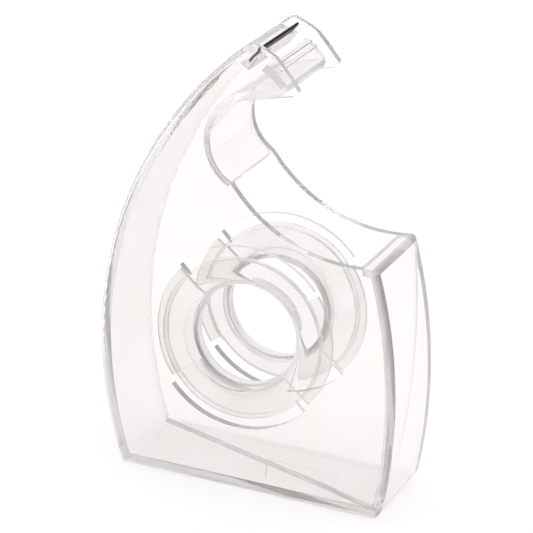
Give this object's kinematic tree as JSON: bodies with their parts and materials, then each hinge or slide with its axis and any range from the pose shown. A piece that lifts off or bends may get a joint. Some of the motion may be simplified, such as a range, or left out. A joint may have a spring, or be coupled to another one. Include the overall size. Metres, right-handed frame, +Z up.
{
  "type": "hand tape dispenser",
  "caption": "Clear plastic hand dispenser for small office tape, with an open mouth, ring hubs that carry the core and a toothed steel cutter at the nose.",
  "frame": {"origin": "middle of the footprint box, on the plane the base stands on", "axes": "+Z up, +X from the upright back towards the open mouth, +Y from the near side wall to the far one along the hub axis"},
  "size_m": [0.0664, 0.0254, 0.0971],
  "materials": {
    "clear_plastic": "clear gloss",
    "clear_hub_plastic": "clear gloss",
    "blade_steel": "satin"
  },
  "bodies": {
    "housing": {"near_shell": "clear_plastic", "far_shell": "clear_plastic", "cutter_blade": "blade_steel"},
    "near_bush": {"near_hub": "clear_hub_plastic"},
    "far_bush": {"far_hub": "clear_hub_plastic"}
  },
  "joints": [
    {"name": "near_hub_turn", "type": "hinge", "parent": "housing", "child": "near_bush", "pos_m": [-0.00115, -0.0127, 0.034], "axis": [0, 1, 0], "range_deg": [0, 90]},
    {"name": "far_hub_turn", "type": "hinge", "parent": "housing", "child": "far_bush", "pos_m": [-0.00115, 0.0127, 0.034], "axis": [0, 1, 0], "range_deg": [0, 90]}
  ]
}
